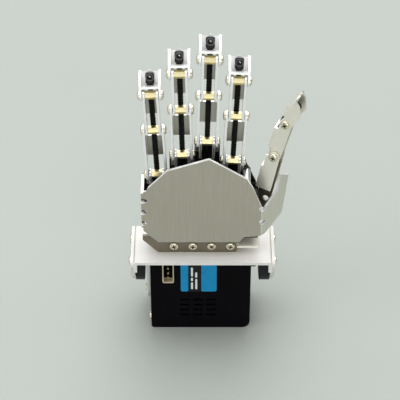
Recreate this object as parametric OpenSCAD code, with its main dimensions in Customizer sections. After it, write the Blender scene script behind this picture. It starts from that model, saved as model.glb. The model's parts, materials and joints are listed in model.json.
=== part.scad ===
// Five-fingered sheet-metal robot hand on a dual-axis wrist servo, millimetres.
// +X is the thumb side, +Y the palm side, +Z points to the fingertips.
// The origin is the centre of the servo's bottom face, on which the hand stands.

/* [Wrist servo] */
// Width of the servo case, along its output shaft
servo_w = 37.5; // [36:0.5:40]
// Depth of the servo case, front to palm side
servo_d = 20; // [19:0.5:21]
// Height of the servo case
servo_h = 40; // [39:0.5:41]
// Height of the wrist axis above the surface
axis_z = 28.5; // [28:0.5:29]
// Radius of the two servo horns
horn_r = 9.4; // [9:0.1:10]

/* [Fingers] */
// Pin to pin length of a proximal phalanx
proximal_l = 19.5; // [18:0.5:21]
// Pin to pin length of a middle phalanx
middle_l = 14.9; // [14:0.1:16]
// Pin to fingertip length of a distal phalanx
distal_l = 8; // [7.6:0.1:9]
// Pin to tip length of the thumb's distal phalanx
thumb_distal_l = 10.4; // [10:0.1:12]
// Angle by which the fingertips are curled at rest
tip_curl = 25; // [20:1:30]
// Outside width of a wide channel
channel_w = 7.4; // [7.2:0.1:7.6]
// Thickness of the folded sheet
sheet_t = 0.8; // [0.7:0.1:0.9]
// Width across the flats of the hexagonal pin spacers
hex_af = 2.7; // [2.5:0.1:2.8]

/* [Palm] */
// Front face of the back plate
back_y = -18; // [-18.5:0.1:-17.5]
// Plane of all the finger pins
pin_y = -10; // [-10.2:0.1:-9.8]
// Angle by which the thumb wing is bent back
wing_bend = 35; // [30:1:40]

/* [Hidden] */
$fn = 48;
eps = 0.01;

// Each finger: x and z of its knuckle pin, lean from upright (degrees, to the thumb side)
LITTLE = [-15.4, 75.9, -2.7];
RING = [-6.4, 84.6, -1.2];
MIDDLE = [2.3, 90.4, 1.4];
INDEX = [11.4, 81.9, 2.5];
FINGERS = [LITTLE, RING, MIDDLE, INDEX];
// The thumb: x and z of its knuckle pin, its lean, its turn about its own length,
// and how far its two moving segments stand open at rest
THUMB = [26.7, 85.5];
thumb_lean = 11;
thumb_turn = 68;
thumb_open = 3.2;
thumb_tip_open = 21;
thumb_base_l = 14.5;

// Sheet channels
end_r = 2.1;
web_y = 3.5;
side_gap = 0.2;
inner_w = channel_w - 2 * sheet_t - 2 * side_gap;
lane_w = inner_w - 2 * sheet_t;
shelf_z = 2.35;
tip_flare = 0.3;

// M2 fasteners
pin_r = 1;
running_gap = 0.05;
head_r = 1.65;
head_h = 0.85;
head_lift = 0.03;
thread_slack = 0.02;

// Servo case
wall = 1.6;
gear_case_w = 9;
cover_w = 3.6;
top_chamfer = 4;
foot_r = 1.2;
corner_r = 3.2;
collar_r = 4.5;
collar_h = 1.9;
shaft_r = 3;
vent_w = 3.4;
vent_h = 0.9;
vent_pitch_x = 5;
vent_pitch_z = 2.6;
label_w = 13.6;
label_top = 37;
label_foot = 18.8;
label_t = 0.15;
socket_x = -12.1;
socket_foot = 23.2;
case_screw_y = 7.4;
case_screw_z = 4;
bottom_hole_x = 14;
bottom_hole_r = 0.8;
bottom_hole_depth = 5;

// Horns and bracket
drive_horn_x = 21.9;
drive_horn_t = 3.9;
idler_horn_x = -24.2;
idler_horn_t = 3.3;
idler_plate_t = 1.4;
idler_plate_r = 7;
idler_plate_foot = 9.5;
horn_screw_pcd = 13.8;
arm_t = 1.1;
arm_gap = 0.05;
bracket_z = 42;
bracket_t = 1.2;
bracket_front = -20.9;
bracket_back = -0.6;
bend_r = 1;
arm_r = 9;
flange_foot = 38.4;
arm_screw_y = [-16.5, -4.5];
arm_screw_z = 40.3;

// Palm
plate_t = 1;
palm_y = -7.3;
frame_y = -15.2;
frame_screw_z = 46.4;
frame_screw_x = [-9.6, -2.8, 4, 10.8];
spacer_at = [[-17.3, 54.5], [-18.2, 64.5], [-10.6, 72.3], [16.2, 75]];
spacer_r = 1.5;
bend_x = 21.9;
left_bend_x = -20.4;
perforation_r = 1.1;
shelf_top = 51.3;
thumb_tab_x = 16.5;
thumb_tab_z = 62;
flange_top = 73.4;
step_x = 14;
step_z = 46.8;
foot_w = 1.3;

// Cord drive
drum_z = 60.6;
drum_y = -12.15;
drum_r = 3.4;
flange_r = 4.1;
drum_x = -14.2;
drum_w = 17.9;
cord_w = 1.9;
cord_t = 1;
bend_swell = 0.03;
cord_lift = 2.15;
cord_y = pin_y + cord_lift;
guide_foot = 64.9;
guide_h = 1.5;
guide_z = guide_foot + guide_h + 0.3;
thumb_cord_y = -9.8;
thumb_over_z = 71.8;
lane_pitch = 3.7;
lane_x = [for (i = [0:4]) -12.5 + i * lane_pitch];
grip_x = 4.6;
grip_size = [16, 8.5, 18.4];
knot_w = 3.1;
knot_d = 2.8;
knot_h = 3.9;
knot_r = 0.9;
knot_y = 1.15;

// ---------- shared shapes ----------

// Turns a 2-D outline in (y, z) into a plate of thickness t that starts at x
module yz_plate(x, t) {
    translate([x, 0, 0]) rotate([90, 0, 90]) linear_extrude(t) children();
}

// Turns a 2-D outline in (x, z) into a plate of thickness t that starts at y
module xz_plate(y, t) {
    translate([0, y + t, 0]) rotate([90, 0, 0]) linear_extrude(t) children();
}

module x_rod(r, x0, x1) {
    translate([x0, 0, 0]) rotate([0, 90, 0]) cylinder(r = r, h = x1 - x0);
}

module y_rod(r, y0, y1) {
    translate([0, y0, 0]) rotate([-90, 0, 0]) cylinder(r = r, h = y1 - y0);
}

// Pan-head screw, head up, seated at z = 0, shank of length l below it
module screw(l) {
    cylinder(r = head_r, h = head_h * 0.45);
    translate([0, 0, head_h * 0.45 - eps])
        cylinder(r1 = head_r, r2 = head_r * 0.62, h = head_h * 0.55 + eps);
    translate([0, 0, -l]) cylinder(r = pin_r, h = l + eps);
}

// Two screws that meet a hexagonal spacer from both sides of a channel
module pin_screws(reach) {
    shank = reach - lane_w / 2 + 1.2;
    for (side = [-1, 1])
        translate([side * (reach + head_lift), 0, 0]) rotate([0, side * 90, 0]) screw(shank);
}

module pin_spacer() {
    difference() {
        rotate([0, 90, 0]) rotate([0, 0, 30])
            cylinder(d = hex_af / cos(30), h = lane_w, center = true, $fn = 6);
        rotate([0, 90, 0]) cylinder(r = pin_r + thread_slack, h = lane_w + 1, center = true);
    }
}

// Side outline of a channel between two pins, wider where its web is
module side_outline(l, web_from, web_to) {
    circle(r = end_r);
    translate([0, l]) circle(r = end_r);
    translate([-end_r, 0]) square([2 * end_r, l]);
    translate([-end_r, web_from]) square([end_r + web_y, web_to - web_from]);
}

module channel(l, w, web_from, web_to) {
    difference() {
        union() {
            yz_plate(-w / 2, sheet_t) side_outline(l, web_from, web_to);
            yz_plate(w / 2 - sheet_t, sheet_t) side_outline(l, web_from, web_to);
            translate([-w / 2, web_y - sheet_t, web_from]) cube([w, sheet_t, web_to - web_from]);
        }
        for (z = [0, l]) translate([0, 0, z]) x_rod(pin_r + running_gap, -w, w);
    }
}

// Side of a fingertip: its open corner is cut off at a slant
module tip_outline(l) {
    circle(r = end_r);
    polygon([[-end_r, 0], [-end_r, l - 4.5], [0.9, l - 1], [web_y, l], [web_y, shelf_z], [end_r, shelf_z],
        [end_r, 0]]);
}

// Fingertip channel with its cord shelf and a low peak between flared top corners
module tip(l, web_from) {
    w = channel_w;
    difference() {
        union() {
            yz_plate(-w / 2, sheet_t) tip_outline(l);
            yz_plate(w / 2 - sheet_t, sheet_t) tip_outline(l);
            xz_plate(web_y - sheet_t, sheet_t)
                polygon([[-w / 2, web_from], [w / 2, web_from], [w / 2, l - 2.2], [w / 2 + tip_flare, l],
                    [w / 2 - 0.9, l - 0.5], [1, l - 0.5], [0, l + 0.4], [-1, l - 0.5],
                    [-w / 2 + 0.9, l - 0.5], [-w / 2 - tip_flare, l], [-w / 2, l - 2.2]]);
            translate([-w / 2, -end_r, shelf_z]) cube([w, end_r + web_y, sheet_t]);
        }
        x_rod(pin_r + running_gap, -w, w);
        translate([0, cord_lift, shelf_z - 1]) linear_extrude(3)
            square([cord_w + 0.3, cord_t + 0.2], center = true);
    }
}

module at_finger(f, along = 0) {
    translate([f[0], pin_y, f[1]]) rotate([0, f[2], 0]) translate([0, 0, along]) children();
}

// The fingertip's own frame, curled towards the palm
module at_tip(f) {
    at_finger(f, proximal_l + middle_l) rotate([-tip_curl, 0, 0]) children();
}

module proximal(f) {
    color("gainsboro") at_finger(f) channel(proximal_l, channel_w, 6.4, 15);
}

module middle(f) {
    color("gainsboro") at_finger(f, proximal_l) channel(middle_l, inner_w, 5, 11.4);
}

module distal(f) {
    color("gainsboro") at_tip(f) tip(distal_l, shelf_z);
}

module finger_spacers(f) {
    color("khaki") for (z = [0, middle_l]) at_finger(f, proximal_l + z) pin_spacer();
}

module finger_screws(f) {
    color("silver") for (z = [0, middle_l]) at_finger(f, proximal_l + z) pin_screws(channel_w / 2);
}

// Rounded sleeve that holds a cord's knotted end
module knot() {
    foot = shelf_z + sheet_t + 0.3;
    translate([0, knot_y, 0]) {
        translate([0, 0, foot]) linear_extrude(knot_h) {
            square([knot_w - 2 * knot_r, knot_d], center = true);
            square([knot_w, knot_d - 2 * knot_r], center = true);
            for (x = [-1, 1], y = [-1, 1])
                translate([x * (knot_w / 2 - knot_r), y * (knot_d / 2 - knot_r)]) circle(r = knot_r);
        }
        translate([-0.9, -0.5, foot - 0.25]) cube([1.8, 1.4, 1]);
    }
}

module finger_knot(f) {
    color("black") at_tip(f) knot();
}

// One straight run of flat cord between two points given in (x, z)
module cord_run(a, b) {
    run = [b[0] - a[0], b[1] - a[1]];
    translate([a[0], cord_y, a[1]]) rotate([0, atan2(run[0], run[1]), 0])
        translate([-cord_w / 2, -cord_t / 2, 0]) cube([cord_w, cord_t, norm(run)]);
}

// Point on a finger's centre line, in (x, z)
function on_finger(f, along) = [f[0] + along * sin(f[2]), f[1] + along * cos(f[2])];

module cord(points) {
    color("black") union() {
        for (i = [0:len(points) - 2]) cord_run(points[i], points[i + 1]);
        for (i = [1:len(points) - 2])
            translate([points[i][0], 0, points[i][1]])
                y_rod(cord_w / 2 + bend_swell, cord_y - cord_t / 2 - bend_swell,
                    cord_y + cord_t / 2 + bend_swell);
    }
}

// Flat cord along +Z of a finger or thumb segment
module lane(from, to) {
    translate([-cord_w / 2, cord_lift - cord_t / 2, from]) cube([cord_w, cord_t, to - from]);
}

module finger_cord(f, i) {
    fold = cord_lift * tan(tip_curl / 2);
    cord([on_finger(f, proximal_l + middle_l - fold), on_finger(f, -6.5), [lane_x[i], guide_z],
        [lane_x[i], drum_z]]);
    color("black") at_tip(f) {
        lane(fold, shelf_z + sheet_t);
        translate([0, cord_lift, fold]) x_rod(cord_t / 2 + bend_swell, -cord_w / 2, cord_w / 2);
    }
}

// ---------- wrist servo ----------

// Outline of the case in (x, z), with a small left foot radius and a larger right one
module case_outline() {
    half = servo_w / 2;
    translate([-half, foot_r]) square([half, servo_h - foot_r]);
    translate([-half + foot_r, 0]) square([servo_w - foot_r - corner_r, servo_h]);
    translate([0, corner_r]) square([half, servo_h - corner_r]);
    translate([-half + foot_r, foot_r]) circle(r = foot_r);
    translate([half - corner_r, corner_r]) circle(r = corner_r);
}

module case_block() {
    intersection() {
        xz_plate(-servo_d / 2, servo_d) case_outline();
        yz_plate(-servo_w, 2 * servo_w)
            polygon([[-servo_d / 2, 0], [servo_d / 2, 0], [servo_d / 2, servo_h - top_chamfer],
                [servo_d / 2 - top_chamfer, servo_h], [-servo_d / 2 + top_chamfer, servo_h],
                [-servo_d / 2, servo_h - top_chamfer]]);
    }
}

module case_slice(x0, x1) {
    intersection() {
        case_block();
        translate([x0, -servo_d, -1]) cube([x1 - x0, 2 * servo_d, servo_h + 2]);
    }
}

module case_cavity() {
    translate([-servo_w / 2 + wall, -servo_d / 2 + wall, wall + 4.4])
        cube([servo_w - 2 * wall, servo_d - 2 * wall, servo_h - 2 * wall - top_chamfer - 4.4]);
}

module case_bolt_holes(r) {
    for (y = [-case_screw_y, case_screw_y])
        translate([0, y, case_screw_z]) x_rod(r, -servo_w, servo_w / 2 - 3);
}

gear_joint_x = servo_w / 2 - gear_case_w;
cover_joint_x = -servo_w / 2 + cover_w;

module gear_case() {
    color([0.08, 0.08, 0.09]) difference() {
        union() {
            case_slice(gear_joint_x, servo_w);
            translate([0, 0, axis_z]) x_rod(collar_r, servo_w / 2 - eps, servo_w / 2 + collar_h);
        }
        case_cavity();
        case_bolt_holes(pin_r + thread_slack);
        translate([0, 0, axis_z]) x_rod(shaft_r + running_gap, 0, servo_w);
    }
}

module middle_case() {
    color([0.07, 0.07, 0.08]) difference() {
        case_slice(cover_joint_x, gear_joint_x);
        case_cavity();
        case_bolt_holes(pin_r + 0.1);
        for (i = [-1:1], k = [0:3])
            translate([i * vent_pitch_x - vent_w / 2 - 1, -servo_d, 6.3 + k * vent_pitch_z])
                cube([vent_w, servo_d, vent_h]);
        translate([socket_x - 2.2, -servo_d / 2 - 1, socket_foot]) cube([4.4, 4, 11]);
        for (x = [-bottom_hole_x, 0]) translate([x, 0, -1])
            cylinder(r = bottom_hole_r, h = bottom_hole_depth + 1);
    }
}

module bottom_cover() {
    color([0.09, 0.09, 0.1]) difference() {
        case_slice(-servo_w, cover_joint_x);
        case_cavity();
        case_bolt_holes(pin_r + 0.1);
    }
}

module case_screws() {
    color("silver") {
        for (y = [-case_screw_y, case_screw_y]) translate([-servo_w / 2 - 0.02, y, case_screw_z])
            rotate([0, -90, 0]) screw(30);
        translate([-servo_w / 2 - idler_plate_t - 0.05, 0, idler_plate_foot + 2.6])
            rotate([0, -90, 0]) screw(idler_plate_t);
    }
}

module servo_label() {
    color([0.1, 0.55, 0.75]) translate([-7.5, -servo_d / 2 - label_t, label_foot])
        cube([label_w, label_t, label_top - label_foot - 3]);
}

module connector_socket() {
    color([0.82, 0.76, 0.6]) difference() {
        translate([socket_x - 2.15, -servo_d / 2 - 0.2, socket_foot + 0.05]) cube([4.3, 4, 10.8]);
        translate([socket_x - 1.55, -servo_d, socket_foot + 0.65]) cube([3.1, servo_d - 7.5, 9.6]);
    }
}

module idler_plate() {
    x0 = -servo_w / 2 - idler_plate_t - 0.02;
    color("silver") difference() {
        union() {
            yz_plate(x0, idler_plate_t) {
                translate([0, idler_plate_foot + idler_plate_r]) circle(r = idler_plate_r);
                translate([-idler_plate_r, idler_plate_foot + idler_plate_r])
                    square([2 * idler_plate_r, servo_h - 4.5 - idler_plate_foot - idler_plate_r]);
            }
            translate([0, 0, axis_z]) x_rod(shaft_r, idler_horn_x + 0.2, x0 + eps);
        }
        translate([0, 0, idler_plate_foot + 2.6]) x_rod(pin_r + 0.1, -servo_w, 0);
    }
}

module servo_motor() {
    color("dimgray") {
        translate([0, 0, 14.5]) x_rod(7.5, -13.5, 6);
        translate([0, 0, 14.5]) x_rod(1, 5.5, 10);
    }
}

module circuit_board() {
    color("darkgreen") translate([-16.4, -8, 6.4]) cube([1.2, 16, 27]);
}

// ---------- moving wrist ----------

module output_shaft() {
    color("goldenrod") translate([0, 0, axis_z]) {
        x_rod(shaft_r, 11, drive_horn_x);
        x_rod(5.4, 12, 14.5);
    }
}

module horn_disc(x, t) {
    translate([0, 0, axis_z]) difference() {
        x_rod(horn_r, x, x + t);
        for (a = [45:90:315]) rotate([a, 0, 0]) translate([0, 0, horn_screw_pcd / 2])
            x_rod(pin_r + thread_slack, x - 1, x + t + 1);
    }
}

module drive_horn() {
    color([0.06, 0.06, 0.07]) horn_disc(drive_horn_x, drive_horn_t);
}

module idler_horn() {
    color([0.06, 0.06, 0.07]) difference() {
        horn_disc(idler_horn_x, idler_horn_t);
        translate([0, 0, axis_z])
            x_rod(shaft_r + running_gap, idler_horn_x - 1, idler_horn_x + idler_horn_t + 1);
    }
}

right_arm_x = drive_horn_x + drive_horn_t + arm_gap;
left_arm_x = idler_horn_x - arm_gap - arm_t;

module horn_screws() {
    translate([0, 0, axis_z]) for (a = [45:90:315]) rotate([a, 0, 0]) {
        translate([right_arm_x + arm_t, 0, horn_screw_pcd / 2]) rotate([0, 90, 0]) screw(arm_t + 3);
        translate([left_arm_x, 0, horn_screw_pcd / 2]) rotate([0, -90, 0]) screw(arm_t + 2.5);
    }
    for (y = arm_screw_y) {
        translate([right_arm_x + arm_t, y, arm_screw_z]) rotate([0, 90, 0]) screw(arm_t + 1.3);
        translate([left_arm_x, y, arm_screw_z]) rotate([0, -90, 0]) screw(arm_t + 1.3);
    }
}

// Cross-section of the folded bracket in (x, z): a bridge between two short flanges
module bracket_section(inset) {
    x0 = left_arm_x + arm_t + inset;
    x1 = right_arm_x - inset;
    fold = bend_r - min(inset, bend_r - 0.1);
    top = bracket_z + bracket_t - inset;
    translate([x0, flange_foot - inset]) square([x1 - x0, top - fold - flange_foot + inset]);
    translate([x0 + fold, flange_foot]) square([x1 - x0 - 2 * fold, top - flange_foot]);
    for (x = [x0 + fold, x1 - fold]) translate([x, top - fold]) circle(r = fold);
}

module bracket_bores(r) {
    for (y = arm_screw_y) translate([0, y, arm_screw_z]) x_rod(r, -40, 40);
}

module wrist_bracket() {
    color([0.95, 0.94, 0.92]) difference() {
        union() {
            translate([0, bracket_back, 0]) rotate([90, 0, 0]) linear_extrude(bracket_back - bracket_front)
                difference() {
                    bracket_section(0);
                    bracket_section(bracket_t);
                }
            translate([-14, frame_y + sheet_t, bracket_z + bracket_t - eps]) cube([27, 1.2, 5.6]);
        }
        bracket_bores(pin_r + thread_slack);
        for (x = frame_screw_x) translate([x, 0, frame_screw_z]) y_rod(pin_r + thread_slack, -20, 0);
    }
}

module arm_outline() {
    translate([0, axis_z]) circle(r = arm_r);
    polygon([[bracket_front, bracket_z + bracket_t - 0.8], [bracket_front + 0.8, bracket_z + bracket_t],
        [bracket_back, bracket_z + bracket_t], [arm_r * cos(40), axis_z + arm_r * sin(40)], [0, axis_z],
        [-arm_r * cos(48), axis_z - arm_r * sin(48)], [bracket_front, bracket_z - 1]]);
}

module bracket_arms() {
    color([0.93, 0.93, 0.91]) difference() {
        for (x = [left_arm_x, right_arm_x]) yz_plate(x, arm_t) arm_outline();
        translate([0, 0, axis_z]) for (a = [45:90:315]) rotate([a, 0, 0])
            translate([0, 0, horn_screw_pcd / 2]) x_rod(pin_r + 0.1, -40, 40);
        translate([0, 0, axis_z]) x_rod(2.2, -40, 40);
        bracket_bores(pin_r + 0.1);
    }
}

// Foot that the frame turns forward under the thumb side, with a rounded outer corner
module thumb_side_foot() {
    translate([0, 0, step_z]) linear_extrude(sheet_t) {
        translate([step_x - sheet_t, -16.8]) square([6.6, 5.8]);
        translate([step_x - sheet_t, -15.2]) square([8.2, 4.2]);
        translate([step_x - sheet_t + 6.6, -15.2]) circle(r = 1.6);
    }
}

module palm_frame() {
    color([0.55, 0.52, 0.47]) difference() {
        union() {
            xz_plate(frame_y, sheet_t)
                polygon([[-15.4, bracket_z + bracket_t], [12.9, bracket_z + bracket_t],
                    [step_x, step_z - 1], [step_x, shelf_top], [-21, shelf_top], [-21, 49.2]]);
            translate([-16, frame_y, shelf_top - sheet_t])
                cube([16 + step_x, palm_y - frame_y - eps, sheet_t]);
            translate([step_x - 1, -11, shelf_top - sheet_t]) cube([7.6, palm_y + 11 - eps, sheet_t]);
            thumb_side_foot();
        }
        for (x = frame_screw_x) translate([x, 0, frame_screw_z]) y_rod(pin_r + 0.1, -20, -10);
    }
}

// ---------- palm ----------

module back_plate() {
    right_edge = [[bend_x, 54], [bend_x, 66]];
    color([0.62, 0.61, 0.57]) difference() {
        union() {
            xz_plate(back_y, plate_t)
                polygon([[-15.2, 50.6], [13.8, 50.6], [15.6, 53], [20.6, 53.4], right_edge[0], right_edge[1],
                    [18.4, 75.5], [16.3, 79.5], [3, 88.4], [-11.6, 83.3], [left_bend_x, 73.4],
                    [left_bend_x, 56]]);
            translate([left_bend_x - plate_t + 0.4, back_y, 57.5])
                cube([plate_t, palm_y - back_y - 0.1, flange_top - 57.5]);
            translate([bend_x, back_y, 0]) rotate([0, 0, wing_bend]) xz_plate(0, plate_t)
                polygon([[-0.3, 54], [1.6, 54.3], [8.8, 60.7], [11.1, 76.7], [7.4, 78.6], [6.5, 71.6],
                    [0.4, 65.2], [-0.3, 65.2]]);
        }
        for (k = [0:3]) translate([left_bend_x, back_y, 59.4 + 5.2 * k]) rotate([0, 0, -45])
            y_rod(perforation_r, -4, 4);
        for (z = [60, 66.2]) translate([bend_x, back_y, z]) rotate([0, 0, 15]) y_rod(perforation_r, -4, 4);
    }
}

module palm_outline() {
    polygon([[-14, bracket_z + bracket_t], [13, bracket_z + bracket_t], [19.8, 50], [19.8, 70],
        [18.5, 73], [16, 79], [6.8, 79], [6.8, 87.5], [-2.1, 87.5], [-2.1, 81.6], [-11, 81.6],
        [-11, 73], [left_bend_x - 0.4, 73], [left_bend_x - 0.4, 52]]);
}

// Two L-shaped ears that carry a knuckle pin, with feet that lie on the palm plate
module knuckle_ears(f) {
    at_finger(f) for (side = [0, 1]) mirror([side, 0, 0]) {
        yz_plate(lane_w / 2, sheet_t) {
            circle(r = end_r);
            translate([-end_r, -6]) square([end_r * 2, 6]);
            translate([-end_r, -6.2]) square([end_r + palm_y - pin_y, 3.4]);
        }
        translate([lane_w / 2, palm_y - pin_y - sheet_t, -6.2]) cube([sheet_t + foot_w, sheet_t, 3.4]);
    }
}

module knuckle_brackets() {
    color("gainsboro") difference() {
        for (f = FINGERS) knuckle_ears(f);
        for (f = FINGERS) at_finger(f) x_rod(pin_r + 0.03, -4, 4);
        for (p = spacer_at) translate([p[0], 0, p[1]]) y_rod(spacer_r + 0.2, -20, 0);
    }
}

module palm_plate() {
    color([0.1, 0.1, 0.11]) difference() {
        xz_plate(palm_y, sheet_t) palm_outline();
        for (p = spacer_at) translate([p[0], 0, p[1]]) y_rod(pin_r + 0.1, -10, 0);
        translate([thumb_tab_x, 0, thumb_tab_z]) y_rod(pin_r + 0.1, -10, 0);
    }
}

module plate_spacers() {
    color("silver") for (p = spacer_at) translate([p[0], 0, p[1]]) difference() {
        y_rod(spacer_r, back_y + plate_t, palm_y);
        y_rod(pin_r + thread_slack, palm_y - 4, palm_y + 1);
    }
}

module frame_screws() {
    for (x = frame_screw_x) translate([x, frame_y, frame_screw_z]) rotate([90, 0, 0]) screw(2.4);
    for (p = spacer_at) translate([p[0], palm_y + sheet_t, p[1]]) rotate([-90, 0, 0]) screw(4);
    translate([thumb_tab_x, palm_y + 2 * sheet_t, thumb_tab_z]) rotate([-90, 0, 0]) screw(1.9);
}

// The hand's identical pan-head screws: horns, bracket, frame, plates and knuckles
module hand_screws() {
    color("silver") {
        horn_screws();
        frame_screws();
        for (f = FINGERS) at_finger(f) pin_screws(channel_w / 2);
    }
}

module knuckle_spacers() {
    color("khaki") for (f = FINGERS) at_finger(f) pin_spacer();
}

module grip_servo() {
    color([0.12, 0.12, 0.14]) difference() {
        translate([grip_x, drum_y - grip_size[1] / 2, shelf_top + 0.02]) cube(grip_size);
        translate([0, drum_y, drum_z]) x_rod(1.5 + running_gap, 0, grip_x + 8);
    }
}

module cord_guide() {
    color([0.1, 0.1, 0.11]) difference() {
        translate([lane_x[0] - 2, thumb_cord_y - 0.9, guide_foot])
            cube([4 * lane_pitch + 4, palm_y - thumb_cord_y + 0.9, guide_h]);
        for (i = [0:3]) translate([lane_x[i] - cord_w / 2 - 0.15, cord_y - cord_t / 2 - 0.15, guide_foot - 1])
            cube([cord_w + 0.3, cord_t + 0.3, guide_h + 2]);
        translate([lane_x[4] - 0.8, thumb_cord_y - 0.7, guide_foot - 1]) cube([1.6, 1.8, guide_h + 2]);
    }
}

module winding_drum() {
    color("whitesmoke") translate([0, drum_y, drum_z]) {
        x_rod(drum_r, drum_x, drum_x + drum_w);
        for (i = [0:5]) translate([lane_x[0] - lane_pitch / 2 + i * lane_pitch - 0.3, 0, 0])
            x_rod(flange_r, 0, 0.6);
        x_rod(1.5, drum_x + drum_w - eps, grip_x + 7);
    }
}

// ---------- thumb: turned about its length so that it closes across the palm ----------

module at_thumb(along = 0) {
    translate([THUMB[0], pin_y, THUMB[1]]) rotate([0, thumb_lean, 0]) rotate([0, 0, thumb_turn])
        translate([0, 0, along]) children();
}

module at_thumb_middle(along = 0) {
    at_thumb() rotate([thumb_open, 0, 0]) translate([0, 0, along]) children();
}

module at_thumb_tip() {
    at_thumb_middle(middle_l) rotate([thumb_tip_open, 0, 0]) children();
}

module thumb_base() {
    color("gainsboro") at_thumb() difference() {
        union() {
            for (x = [-channel_w / 2, channel_w / 2 - sheet_t]) yz_plate(x, sheet_t) {
                circle(r = end_r);
                translate([-end_r, -thumb_base_l]) square([2 * end_r + 0.7, thumb_base_l]);
                translate([-end_r, -thumb_base_l]) square([end_r + web_y, thumb_base_l - 5]);
            }
            translate([-channel_w / 2, web_y - sheet_t, -thumb_base_l])
                cube([channel_w, sheet_t, thumb_base_l - 5]);
        }
        x_rod(pin_r + running_gap, -channel_w, channel_w);
    }
}

module thumb_bracket() {
    color([0.4, 0.38, 0.33]) {
        difference() {
            at_thumb() difference() {
                yz_plate(inner_w / 2 - 0.6, sheet_t)
                    polygon([[-2, -27], [3.2, -27], [3.2, -15], [2.4, -14.8], [2.4, -4.5], [-2, -4.5]]);
                translate([0, -0.2, -22.6]) x_rod(perforation_r, -4, 4);
            }
            translate([0, palm_y, 0]) cube([19.8, 1, 200]);
        }
        difference() {
            translate([13.5, palm_y + sheet_t, 58.5]) cube([9.2, sheet_t, 7.5]);
            translate([thumb_tab_x, 0, thumb_tab_z]) y_rod(pin_r + 0.1, -10, 0);
        }
    }
}

module thumb_proximal() {
    color("gainsboro") at_thumb_middle() channel(middle_l, inner_w, 2.6, 11.4);
}

module thumb_distal() {
    color("gainsboro") at_thumb_tip() tip(thumb_distal_l, 4.8);
}

module thumb_spacers() {
    color("khaki") for (z = [0, middle_l]) at_thumb_middle(z) pin_spacer();
}

module thumb_screws() {
    color("silver") for (z = [0, middle_l]) at_thumb_middle(z) pin_screws(channel_w / 2);
}

module thumb_knot() {
    color("black") at_thumb_tip() knot();
}

// Round cord between two points in space
module cord_rod(a, b) {
    run = b - a;
    translate(a) rotate([0, acos(run[2] / norm(run)), atan2(run[1], run[0])])
        cylinder(r = cord_t / 2, h = norm(run));
}

// Point of the thumb's base frame: y to its palm side, z along it
function thumb_point(y, z) = [
    THUMB[0] - y * sin(thumb_turn) * cos(thumb_lean) + z * sin(thumb_lean),
    pin_y + y * cos(thumb_turn),
    THUMB[1] + y * sin(thumb_turn) * sin(thumb_lean) + z * cos(thumb_lean)];

module thumb_cord() {
    fold = cord_lift * tan(thumb_tip_open / 2);
    lead = thumb_point(cord_lift, -thumb_base_l - 1.6);
    over = [lane_x[4], thumb_cord_y, thumb_over_z];
    through = [lane_x[4], thumb_cord_y, guide_foot];
    color("black") union() {
        at_thumb_tip() {
            lane(-fold, shelf_z + sheet_t);
            translate([0, cord_lift, -fold]) x_rod(cord_t / 2 + bend_swell, -cord_w / 2, cord_w / 2);
        }
        at_thumb_middle() lane(-0.2, middle_l + fold);
        at_thumb() lane(-thumb_base_l - 1.6, 0.2);
        cord_rod(lead, over);
        cord_rod(over, through);
        cord_rod(through, [lane_x[4], cord_y, drum_z]);
        for (p = [over, through]) translate(p) sphere(r = cord_t / 2 + bend_swell);
        translate(lead) sphere(r = 0.8);
    }
}

module little_proximal() proximal(LITTLE);
module little_middle() middle(LITTLE);
module little_distal() distal(LITTLE);
module little_spacers() finger_spacers(LITTLE);
module little_screws() finger_screws(LITTLE);
module little_cord() finger_cord(LITTLE, 0);
module little_knot() finger_knot(LITTLE);
module ring_proximal() proximal(RING);
module ring_middle() middle(RING);
module ring_distal() distal(RING);
module ring_spacers() finger_spacers(RING);
module ring_screws() finger_screws(RING);
module ring_cord() finger_cord(RING, 1);
module ring_knot() finger_knot(RING);
module middle_proximal() proximal(MIDDLE);
module middle_middle() middle(MIDDLE);
module middle_distal() distal(MIDDLE);
module middle_spacers() finger_spacers(MIDDLE);
module middle_screws() finger_screws(MIDDLE);
module middle_cord() finger_cord(MIDDLE, 2);
module middle_knot() finger_knot(MIDDLE);
module index_proximal() proximal(INDEX);
module index_middle() middle(INDEX);
module index_distal() distal(INDEX);
module index_spacers() finger_spacers(INDEX);
module index_screws() finger_screws(INDEX);
module index_cord() finger_cord(INDEX, 3);
module index_knot() finger_knot(INDEX);

gear_case();
middle_case();
bottom_cover();
case_screws();
servo_label();
connector_socket();
idler_plate();
servo_motor();
circuit_board();
output_shaft();
drive_horn();
idler_horn();
hand_screws();
wrist_bracket();
bracket_arms();
palm_frame();
back_plate();
palm_plate();
plate_spacers();
knuckle_brackets();
knuckle_spacers();
thumb_base();
thumb_bracket();
grip_servo();
cord_guide();
winding_drum();
little_proximal();
little_middle();
little_distal();
little_spacers();
little_screws();
ring_proximal();
ring_middle();
ring_distal();
ring_spacers();
ring_screws();
middle_proximal();
middle_middle();
middle_distal();
middle_spacers();
middle_screws();
index_proximal();
index_middle();
index_distal();
index_spacers();
index_screws();
thumb_proximal();
thumb_distal();
thumb_spacers();
thumb_screws();
little_cord();
ring_cord();
middle_cord();
index_cord();
thumb_cord();
little_knot();
ring_knot();
middle_knot();
index_knot();
thumb_knot();
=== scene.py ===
"""Looks of a five-fingered sheet-metal robot hand on its wrist servo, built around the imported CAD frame."""
import json
import math
import random

import bmesh
import bpy
import numpy as np
from mathutils import Matrix, Vector


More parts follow.
